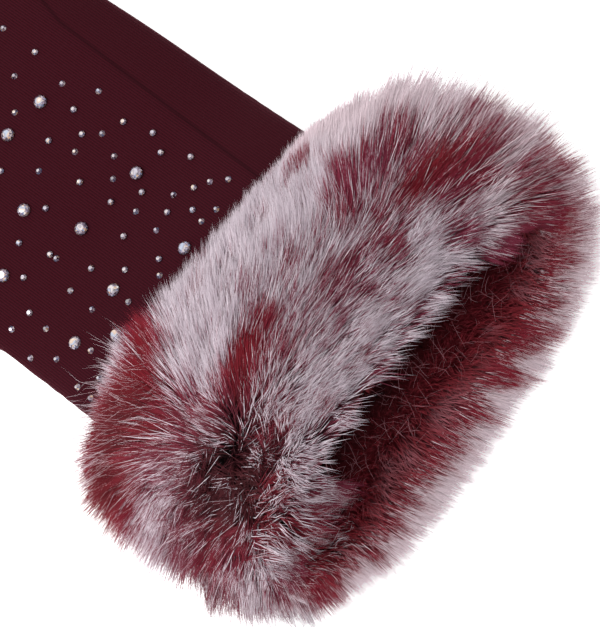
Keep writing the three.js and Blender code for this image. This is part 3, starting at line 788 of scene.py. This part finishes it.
def grow(name, rings, style, strands, chosen=None, **told):
    """Grows strands from a stack of rings or its chosen faces. Style gives the roots directions and more."""
    points, faces = skin(rings)
    faces = faces[:-2]
    if chosen is not None:
        middles = np.array([points[list(face)].mean(axis=0) for face in faces]) / MM
        faces = [face for face, keep in zip(faces, chosen(middles)) if keep]
    mesh = bpy.data.meshes.new(name)
    mesh.from_pydata(points.tolist(), [], faces)
    mesh.update()
    spots, normals = points_of(mesh)
    traits = style(spots, normals)
    for trait, values in traits.items():
        kind, word = ("FLOAT_VECTOR", "vector") if np.ndim(values) == 2 else ("FLOAT", "value")
        values = np.broadcast_to(values, spots.shape[:max(1, np.ndim(values))]).astype(np.float32)
        mesh.attributes.new(trait, kind, "POINT").data.foreach_set(word, values.ravel())
    weight = sum(face.area * traits["fill"][list(face.vertices)].mean() for face in mesh.polygons)
    piece = bpy.data.objects.new(name, mesh)
    bpy.context.collection.objects.link(piece)
    growth = piece.modifiers.new("growth", "NODES")
    growth.node_group = pile
    for label, value in {**USUAL, **told, "density": strands / weight}.items():
        growth[pile_inputs[label]] = value
    settle(piece)
    return piece


noise.seed_set(4)  # without a seed, noise_vector is shifted differently in each run
PARTING = np.array([-27, -101, 36])  # where the fur parts and its strands fan out from
SIDE_PARTING = np.array([-47.7, -75, 34])  # a smaller one at the corner by the thumb
MOUTH_CORNER = np.array([-46, -123, 26])
# Places where the frosting stays back and the burgundy shows, as (across, along, half-width, strength).
RED_PATCHES = (
    (57, -106, 4.8, 0.9), (47.5, -102, 3.6, 0.8), (56, -115, 2.6, 0.4), (56, -92, 2.4, 0.4),
    (48, -86, 1.6, 0.5), (44, -82, 1.6, 0.4), (41, -68, 3.0, 0.4), (79, -92, 1.6, 0.4),
    (73, -90, 1.8, 0.35), (83, -99, 1.8, 0.4), (73, -103, 3.0, 0.4), (33, -92, 4.0, 0.3),
    (31, -101, 1.6, 0.6), (33, -108, 2.0, 0.4), (13, -88, 2.2, 0.4), (17, -99, 2.4, 0.4),
    (-5, -67, 1.5, 0.5), (12, -81, 1.4, 0.4), (2, -84, 1.4, 0.35), (1, -91, 1.4, 0.45), (-6, -90, 3.0, 0.8),
    (-12, -93, 3.0, 0.8), (-17, -96, 3.8, 0.9), (-3, -100, 2.0, 0.5), (-19, -111, 3.2, 0.4),
    (-19, -56, 3.6, 0.6), (-25, -64, 4.6, 0.9), (-34, -70, 6.0, 1.1), (-42, -73, 6.2, 1.1),
    (-20, -67, 2.2, 0.4), (-30, -86, 2.4, 0.6), (-50, -74, 6.2, 1.2), (-60, -75, 4.4, 0.4),
    (-55, -80, 4.8, 0.9), (-44, -64, 4.4, 0.8), (-51, -61, 4.2, 0.8), (67, -127, 3.4, 0.45),
    (72, -124, 2.6, 0.35), (-51, -120, 3.4, 0.35), (-41, -126, 3.6, 0.5), (-48, -109, 2.6, 0.5),
    (-35, -112, 4.0, 0.6), (73, -120, 1.8, 0.4), (79, -125, 1.8, 0.4), (73, -133, 2.2, 0.2),
    (8, -101, 1.4, 0.4), (8, -120, 2.0, 0.35), (-8, -120, 1.6, 0.35), (-55, -113, 2.2, 0.4),
    (-62, -121, 2.2, 0.4),
)
# How the fur is combed on the upper side, as (across, along, degrees from the little finger's side).
COMBED = (
    (14, -62, 45), (30, -71, 60), (36, -80, 65), (44, -66, 40), (58, -71, 45), (38, -89, 50), (53, -86, 33),
    (72, -79, 33), (58, -93, 15), (75, -96, 5), (83, -107, -13), (85, -119, -28), (42, -105, -20),
    (61, -108, -17), (73, -117, -33), (75, -131, -47), (50, -117, -37), (44, -125, -50), (33, -112, -30),
    (24, -119, -43), (21, -104, -17), (7, -114, -28), (5, -126, -40), (11, -93, 17), (0, -101, -10),
    (-13, -117, -30), (-4, -96, 10), (-24, -110, -25), (-8, -89, 30), (-21, -94, 50), (7, -77, 40),
    (-5, -68, 42), (-20, -80, 45), (-29, -79, 80), (-17, -68, 60), (-17, -57, 75), (-28, -55, 100),
    (-39, -56, 113), (-38, -65, 95), (-50, -59, 120), (-60, -63, 145), (-63, -73, 180), (-52, -84, 175),
    (-65, -91, 195), (-54, -100, 195), (-64, -108, 213), (-58, -117, 222), (-34, -113, -40),
    (-43, -116, 245), (-47, -127, 245), (-32, -121, -55), (-40, -80, 145),
)
COMB_SPREAD = 11.4018  # how far round its place a charted direction counts, in millimetres
# The rounded outline that the tips of the long pile end at.
TIPS_MIDDLE = (6.5, 20)
TIPS_HALF_WIDTH = 84
TIPS_HALF_HEIGHT = 33
TIPS_MOUTH = -150
TIPS_GLOVE = -50.5
DOWNSTREAM = 8  # how far from its root, along the coat, a strand is mostly seen, in millimetres


def unit(vectors):
    """Vectors scaled to length one."""
    return vectors / np.maximum(np.linalg.norm(vectors, axis=1), 1e-6)[:, None]


def ramped(values, start, end):
    """Zero up to the start, one from the end on, and evenly between. The end may be the smaller number."""
    return np.clip((values - start) / (end - start), 0, 1)


def near(points, middle, spread):
    """One at the middle and less all round it, down to 0.37 at the spread."""
    return np.exp(-(((points - middle) / spread) ** 2).sum(axis=1))


def swirls(points, size):
    """A random vector at each point that turns smoothly over so many millimetres."""
    return np.array([noise.noise_vector(Vector(p)) for p in points / size])


def combed(spots):
    """The charted direction round each spot, and how much it counts there."""
    total = np.zeros((len(spots), 3))
    weight = np.zeros(len(spots))
    for comb_x, comb_y, heading in COMBED:
        counts = near(spots[:, :2], (comb_x, comb_y), COMB_SPREAD)
        total += counts[:, None] * [math.cos(math.radians(heading)), math.sin(math.radians(heading)), 0]
        weight += counts
    # The strands also rise, which tips what is seen of them toward the fingers.
    way = unit(unit(total) - [0, 0.32, 0])
    return way, np.clip(2.5 * weight, 0, 1) * ramped(spots[:, 2], 8, 24)


def past_outline(spots):
    """Less than one inside the outline of the tips, and more outside it."""
    x, y, z = spots.T
    mouth = TIPS_MOUTH + (0.4 - 0.16 * ramped(x, 40, 70)) * np.maximum(z - 8, 0)
    mouth += 8 * np.exp(-((x - 60) / 13) ** 2) * ramped(z, 24, 32)
    glove = TIPS_GLOVE + 6 * np.exp(-((x + 26) / 15) ** 2)
    glove = glove - 0.12 * np.clip(x, 0, 60) - 0.25 * np.maximum(z - 22, 0)
    lengthwise = (2 * y - mouth - glove) / (glove - mouth)
    plan = np.abs((x - TIPS_MIDDLE[0]) / TIPS_HALF_WIDTH) ** 3.5 + np.abs(lengthwise) ** 3.5
    brow = ramped(y, -96, -110) * ramped(x, -40, -20)
    return plan ** 0.7 + np.abs((z - TIPS_MIDDLE[1]) / TIPS_HALF_HEIGHT) ** (2.5 + 9 * brow)


def room_inside(spots, ways):
    """How far each spot is from that outline, the way its strand goes."""
    least, most = np.zeros(len(spots)), np.full(len(spots), 40.0)
    for _ in range(12):
        middle = (least + most) / 2
        inside = past_outline(spots + ways * middle[:, None]) < 1
        least, most = np.where(inside, middle, least), np.where(inside, most, middle)
    return least


def outer_lie(spots, normals):
    """The way the long pile lies: in a fan from its parting, and on the upper side as it is combed."""
    y, z = spots[:, 1], spots[:, 2]
    fan = (spots - PARTING) * [1, 2, 0.9]
    fan[:, 1] *= np.where(fan[:, 1] < 0, 2.2, 1)
    near_side = near(spots, SIDE_PARTING, 15)[:, None]
    fan = unit(unit(fan) * (1 - near_side) + unit(spots - SIDE_PARTING + [-3, 0, 0]) * near_side)
    near_corner = near(spots, MOUTH_CORNER, 13) * ramped(z, 14, 22)
    fan = unit(fan + near_corner[:, None] * [1.1, 0, 0.2])
    first_way, _ = combed(spots)
    way, counts = combed(spots + 7 * first_way * [1, 1, 0])
    counts = (counts * ramped(normals[:, 2], -1 / 3, 0) * ramped(y, -50, -58))[:, None]
    fan = unit(way * [1, 1, 0] * counts + 0.45 * fan * [0, 0, 1] * counts + fan * (1 - counts))
    inward = np.minimum(0, (fan * normals).sum(axis=1))
    return unit(fan - normals * inward[:, None])


def red_patches(seen, way):
    """How much the burgundy shows at each place that is seen, in patches drawn out the way strands lie."""
    patches = np.zeros(len(seen))
    for patch_x, patch_y, half, strength in RED_PATCHES:
        gap = seen[:, :2] - [patch_x, patch_y]
        lengthwise = (gap * way[:, :2]).sum(axis=1)
        sideways = gap[:, 0] * way[:, 1] - gap[:, 1] * way[:, 0]
        patches += strength * np.exp(-((lengthwise / (1.7 * half)) ** 2 + (sideways / half) ** 2))
    return patches


def outer_style(spots, normals):
    """Direction, length, frosting, crimp and density of the long pile by where it is rooted."""
    x, y, z = spots.T
    lie = outer_lie(spots, normals)
    # The mouth's rim, and how near its inner edge a root is.
    girth = (np.abs((x - 7.5) / 56.4) ** 3 + np.abs((z - 24.2) / 13.5) ** 3) ** (1 / 3)
    rim = np.clip(-normals[:, 1], 0, 1) * (y < -113 - 0.5 * np.clip(36 - z, 0, 27))
    inner_rim = rim * ramped(girth, 1.18, 0.98)
    upper_rim = ramped(y, -117.2, -117.6) * ramped(z, 30, 34) * ramped(x, 52, 46) * ramped(x, -32, -26)
    lie[:, 2] += 0.5 * inner_rim * (z < 20)
    # Parts of the coat that differ from the rest.
    tangle = np.clip(1.7 * near(spots[:, :2], (-38, -105), (13, 15)) * (z > 12), 0, 1)
    brow = ramped(y, -104, -110) * (z > 30)
    little_side = ramped(x, 42, 58)
    thumb_side = ramped(x, -50, -62)
    glove_half = ramped(y, -92, -72) * ramped(x, 40, 20)
    top_edge = ramped(x, 32, 42) * ramped(y, -90, -82)
    thumb_edge = ramped(x, -50, -58) * ramped(z, 28, 18) * ramped(y, -70, -80)
    underneath = ramped(normals[:, 2], -0.6, -0.8) * ramped(y, -124, -110)
    longest = 24 + 6 * near(spots[:, :2], (-50, -124), 22.3607) + 11 * brow + 5 * little_side
    tip_way = unit(OUTWARD[1] * normals + ALONG_COAT[1] * lie)
    reach = np.clip(1.08 * room_inside(spots, tip_way), 6, longest)
    reach *= (1 - 0.36 * inner_rim * (z < 26)) * (1 - 0.25 * tangle)
    swirl = swirls(spots, 4) + swirls(spots, 9)
    lie = lie * (1 - 0.95 * tangle)[:, None] + swirl * (0.1 + 0.75 * tangle)[:, None]
    # The tone belongs to what is seen of a strand, which lies a little downstream of its root.
    seen = spots + DOWNSTREAM * unit(lie)
    seen_plan = seen[:, :2]
    dark_round = np.clip(1.7 * near(seen_plan, (-38, -108), (15, 14)), 0, 1) * (z > 12)
    mixed = near(seen_plan, (-50, -104), (16, 22))
    ridge = np.exp(-((seen[:, 1] + 104) / 11) ** 2) * ramped(seen[:, 0], -15, 5)
    clumps = clouds(spots, 2.6)
    along_lip = clouds(np.stack([x, 0 * x, 0 * x + 19.8], axis=1), 6)
    snow = 0.52 - 0.1 * glove_half + 0.12 * ridge + 0.46 * dark_round + 0.4 * inner_rim + 0.15 * mixed
    snow += 0.07 * near(seen_plan, (36, -98), (20, 14))
    snow += 0.35 * clumps * np.maximum(mixed, dark_round) + 0.4 * along_lip * rim * (z < 26)
    snow -= 0.25 * top_edge + 0.08 * little_side
    # Red streaks run out from the parting.
    from_parting = spots - PARTING
    bearing = np.arctan2(from_parting[:, 1], from_parting[:, 0])
    distance = np.linalg.norm(from_parting[:, :2], axis=1)
    streaks = clouds(np.stack([bearing * 15, distance / 11, 0 * x + 3.7], axis=1), 1)
    streaks = np.clip(streaks - 0.1, 0, 1) * np.clip((x + 25) / 20, 0.4, 1)
    snow += 1.1 * streaks * (1 - top_edge) * (1 - 0.4 * glove_half)
    patches = red_patches(seen, unit(lie * [1, 1, 0])) * np.clip((z - 8) / 12, 0.3, 1)
    snow += patches * np.clip(1.15 + 1.2 * clumps, 0.6, 1.6)
    # The lower lip and the edge by the thumb are pale at their ends all along.
    on_lip = (rim * (z < 30) > 0.3) & (x > -35)
    snow = np.where(on_lip, np.minimum(snow, 0.66 + 0.7 * inner_rim), snow)
    snow -= np.maximum(snow - 0.68, 0) * thumb_edge
    open_ends = rim * (z < 30) + 0.7 * little_side + 0.5 * ramped(y, -82, -70) + thumb_side
    # Round the outline the frosting is pinker, and lighter with painted light from the white floor through the
    # thin ends.
    backlit_pink = 0.9 * rim * (z < 30) + 0.8 * little_side + 0.8 * top_edge + 0.7 * thumb_side
    # Painted shade where one looks down into the pile: in the dark round, in the red patches, a little on the
    # ridge and by the thumb.
    painted_shade = 0.1 * ridge + 0.8 * dark_round + 0.24 * patches + 0.26 * near(seen_plan, (-44, -72), 15.8114)
    return {
        "lie": lie,
        "reach": reach * MM,
        "snow": snow,
        "flush": np.clip(1.3 * patches + 0.7 * rim * (z < 24) + 0.6 * dark_round, 0, 1),
        "painted_shade": np.clip(painted_shade, 0, 0.9),
        "backlit_pink": np.clip(backlit_pink, 0, 1),
        "curl": 0.2 + 1.3 * tangle,
        "fray": np.clip(open_ends, 0, 1) - 0.6 * brow * (1 - little_side),
        "fill": (1 - 0.86 * underneath + 0.6 * rim + 0.5 * tangle) * (1 - upper_rim),
    }


root_places = [(-60.9, 0.8)]
for along in np.linspace(-61.6, -117.0, 76):
    root_places.append((along, 5 * math.sqrt(min(1, (-59.5 - along) / 8))))
root_places += [(-118.6, 4.2), (-119.6, 2.8), (-120.0, 1.2), (-120.0, -0.4)]
root_rings = sleeve(root_places, 2.8, 192)
QUARTERS = {
    "glove_side_thumb": lambda m: (m[:, 0] < 6) & (m[:, 1] > -94),
    "glove_side_little": lambda m: (m[:, 0] >= 6) & (m[:, 1] > -94),
    "mouth_side_thumb": lambda m: (m[:, 0] < 6) & (m[:, 1] <= -94),
    "mouth_side_little": lambda m: (m[:, 0] >= 6) & (m[:, 1] <= -94),
}
# Each quarter has straight hairs that make up the mass, and longer bent ones over them.
MASS = {"strand_width": 0.54 * MM, "length": 0.94, "frayed_longest": 1.02}
OVER = {
    "strand_width": 0.29 * MM,
    "length": 1.03,
    "own_sway": 0.3,
    "frayed_longest": 1.16,
    "segments": 2,
    "seed": 2,
}
for quarter, chosen in QUARTERS.items():
    for coat, strands, told in (("pile", 26200, MASS), ("guard", 7750, OVER)):
        piece = grow(coat + "_" + quarter, root_rings, outer_style, strands, chosen, **told)
        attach(piece, "root")

# The lower lip is the thickest with fur, so it gets strands of its own.
lip_places = ((-116.5, 5), (-118.6, 4.2), (-119.6, 2.8), (-120.3, 1.2), (-120.3, -0.4), (-119.8, -1.6))
lip_fringe = grow(
    "lip_fringe",
    sleeve(lip_places, 2.8, 192),
    outer_style,
    18000,
    lambda m: m[:, 2] < 25,
    length=0.95,
    tuft_size=3.0 * MM,
    gather=0.12,
    lock_sway=0.2,
    tuft_sway=0.18,
    own_sway=0.36,
    shortest_strand=0.6,
    shortest_tuft=0.94,
    frayed_longest=1.1,
    tuft_tone=0.1,
    seed=5,
)
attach(lip_fringe, "root")


def corner_style(spots, normals):
    """The thick fur at the mouth's corner by the thumb, which stands in over the opening."""
    x, y, z = spots.T
    swirl = swirls(spots, 5)
    return {
        **outer_style(spots, normals),
        "lie": [0.7, -0.9, 0.25] + 0.7 * swirl,
        "reach": (12 + 4 * ramped(z, 10, 25)) * MM,
        "snow": 0.76 + 0.5 * swirl[:, 0],
        # A little painted shade all over the corner's tufts.
        "flush": 0.8,
        "painted_shade": 0.15,
        "curl": 1.1,
        "fill": ramped(x, -30, -38) * ramped(y, -98, -108),
    }


inward_places = [(along, -2.2) for along in (-118.6, -115, -110, -104, -97)]
corner_tufts = grow(
    "corner_tufts",
    sleeve([(-112, 5), (-114, 5), *lip_places, *inward_places], 2.8, 192),
    corner_style,
    2900,
    gather=0.34,
    lock_sway=0.3,
    tuft_sway=0.34,
    own_sway=0.3,
    shortest_strand=0.7,
    shortest_tuft=0.7,
    tuft_tone=0.3,
    segments=2,
    seed=7,
)
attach(corner_tufts, "root")

# Single fine hairs: they don't gather, and their frosting doesn't go by tufts.
SINGLE_HAIRS = {
    "strand_width": 0.13 * MM,
    "gather": 0.0,
    "lock_sway": 0.0,
    "shortest_strand": 0.6,
    "tuft_tone": 0.0,
    "segments": 4,
}


def crossing_style(spots, normals):
    """Fine pale hairs that lie every way over the red fur by the thumb, and out over the cloth there."""
    return {
        "lie": [-0.7, 0.5, 0.0] + 1.1 * swirls(spots, 3),
        "reach": 21 * MM,
        "snow": 0.45,
        "flush": 0.5,
        "painted_shade": 0.0,
        # Pinker and lighter, with painted light as at the outline.
        "backlit_pink": 0.8,
        "curl": 0.5,
        "fray": 0.0,
        "fill": near(spots[:, :2], (-44, -72), 17.3205) * ramped(spots[:, 2], 12, 18),
    }


crossing_hairs = grow("crossing_hairs", root_rings, crossing_style, 620, own_sway=0.5, seed=9, **SINGLE_HAIRS)
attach(crossing_hairs, "root")

# Lining
# The inside of the cuff is lined with the same fur in a shorter pile, deep burgundy all through, with a few
# pale hairs strayed in from the outer pile. It is turned out over the mouth's edge.
lining_velvet, tree = empty_finish("acrylic_lining_velvet")
# The imported feet of the lining's hairs: an even deep red with a soft bloom, mottled where they part. Deeper
# inside, painted shade darkens them, as less light gets between the hairs.
mottle = add(tree, NOISE, {"Scale": 0.7 / MM, "Detail": 6.0, "Roughness": 0.7})
parted = add(tree, MAP, {0: mottle, 1: 0.3, 2: 0.7})
tone = add(tree, MIX, {0: parted, 6: linear("#400a12"), 7: linear("#7d1826")}, data_type="RGBA")
where = add(tree, "ShaderNodeTexCoord").outputs["Object"]
where = add(tree, "ShaderNodeSeparateXYZ", {0: where}).outputs["Y"]
deep = add(tree, MAP, {0: where, 1: -124 * MM, 2: -114 * MM, 3: 0.0, 4: 0.85})
tone = add(tree, MIX, {0: deep, 6: tone, 7: linear("#1c0407")}, data_type="RGBA")
relief = add(tree, "ShaderNodeBump", {"Height": mottle, "Strength": 0.8, "Distance": 0.8 * MM})
surface = add(tree, "ShaderNodeBsdfPrincipled", {
    "Base Color": tone,
    "Normal": relief,
    "Roughness": 0.9,
    "Specular IOR Level": 0.2,
    "Sheen Weight": 0.4,
    "Sheen Roughness": 0.4,
    "Sheen Tint": linear("#b0303f"),
})
add(tree, "ShaderNodeOutputMaterial", {"Surface": surface})

lining_places = [(along, -0.4) for along in np.linspace(-61.4, -119.0, 16)]
lining_places += [(along, -2.2) for along in np.linspace(-119.0, -61.4, 24)]
fur_lining_base = piece_from("fur_lining_base", [skin(sleeve(lining_places), looped=True)])
fur_lining_base.data.shade_smooth()
fur_lining_base.data.materials.append(lining_velvet)
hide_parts("fur_lining")
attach(fur_lining_base, "root")

lining_hair, tree = empty_finish("burgundy_acrylic_lining_hair")
# Dark at the foot and a dusty red above it, with a soft shine on the bends. The strayed hairs are pale rose.
along, snow, painted_shade = (
    add(tree, TRAIT, attribute_name=name).outputs["Fac"] for name in ("along", "snow", "painted_shade")
)
risen = add(tree, MAP, {0: along, 1: 0.0, 2: 0.8})
hair = add(tree, MIX, {0: risen, 6: linear("#560f19"), 7: linear("#a02a37")}, data_type="RGBA")
hair = add(tree, MIX, {0: snow, 6: hair, 7: linear("#c98d98")}, data_type="RGBA")
# Painted shadow, where the top layer's edge shades the lining.
hair = add(tree, MIX, {0: painted_shade, 6: hair, 7: linear("#1c0407")}, data_type="RGBA")
faced = add(tree, "ShaderNodeNewGeometry").outputs["Normal"]
coat = add(tree, TRAIT, attribute_name="rise").outputs["Vector"]
soft = add(tree, MIX, {0: 0.7, 4: faced, 5: coat}, data_type="VECTOR")
soft = add(tree, VECTOR, {0: soft}, operation="NORMALIZE")
surface = add(tree, "ShaderNodeBsdfPrincipled", {"Base Color": hair, "Normal": soft, **HAIR_SHINE})
add(tree, "ShaderNodeOutputMaterial", {"Surface": surface})
LINING_GATHERING = {"tuft_size": 3.5 * MM, "lock_size": 9 * MM, "finish": lining_hair}


def lining_style(spots, normals):
    """Direction, length, crimp and density of the lining's short pile."""
    x, y, z = spots.T
    out = unit(spots * [1, 0, 1] + [-7.5, -30, -22])
    near_mouth = ramped(y, -80, -110)
    from_edge = y + 119.4 + 14 * (36.4 - z) / 27
    turned_out = ramped(from_edge, 9, 2) * ramped(z, 28, 22)
    upper = (z > 28) & (y < -108)
    wisps = clouds(spots, 4.5)
    return {
        "lie": 0.45 * out + turned_out[:, None] * [0.1, -0.9, 0.1],
        "reach": (3.8 + 1.4 * near_mouth + 7.5 * turned_out - 2.4 * upper) * MM,
        "snow": np.clip(turned_out * (1.5 * wisps - 0.1), 0, 0.7),
        # Painted shadow from the top layer's edge over the lining inside the mouth, starting nearer the mouth
        # on the little finger's side.
        "painted_shade": 0.84 * ramped(y + 4 * ramped(x, 35, 50), -124, -115),
        "curl": 0.5,
        "fray": turned_out,
        "fill": (0.1 + 0.9 * near_mouth ** 2 + turned_out) * (1 - 0.4 * upper),
    }


mouth_places = [(along, -2.0) for along in np.linspace(-66, -117, 40)]
mouth_places += [(-119.4, out) for out in (-1.2, 0.4, 2.0)]
lining_pile = grow(
    "lining_pile",
    [ring[::-1] for ring in sleeve(mouth_places)],
    lining_style,
    14000,
    gather=0.3,
    lock_sway=0.3,
    own_sway=0.9,
    shortest_strand=0.7,
    tuft_tone=0.0,
    seed=11,
    **LINING_GATHERING,
)
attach(lining_pile, "root")


def stray_style(spots, normals):
    """Long pale hairs that lie every way across the lining."""
    swirl = swirls(spots, 3)
    return {
        "lie": 3 * swirl,
        "reach": 12 * MM,
        "snow": np.clip(0.75 + 0.6 * swirl[:, 0], 0.3, 1),
        "painted_shade": 0.0,
        "curl": 1.1,
        "fray": 0.0,
        "fill": ramped(spots[:, 1], -100, -110) * (spots[:, 2] < 22),
    }


stray_places = [(along, -2.0) for along in np.linspace(-90, -118.5, 60)]
stray_hairs = grow(
    "stray_hairs",
    [ring[::-1] for ring in sleeve(stray_places, sides=192)],
    stray_style,
    560,
    own_sway=1.6,
    shortest_tuft=0.8,
    seed=3,
    **SINGLE_HAIRS,
    **LINING_GATHERING,
)
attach(stray_hairs, "root")
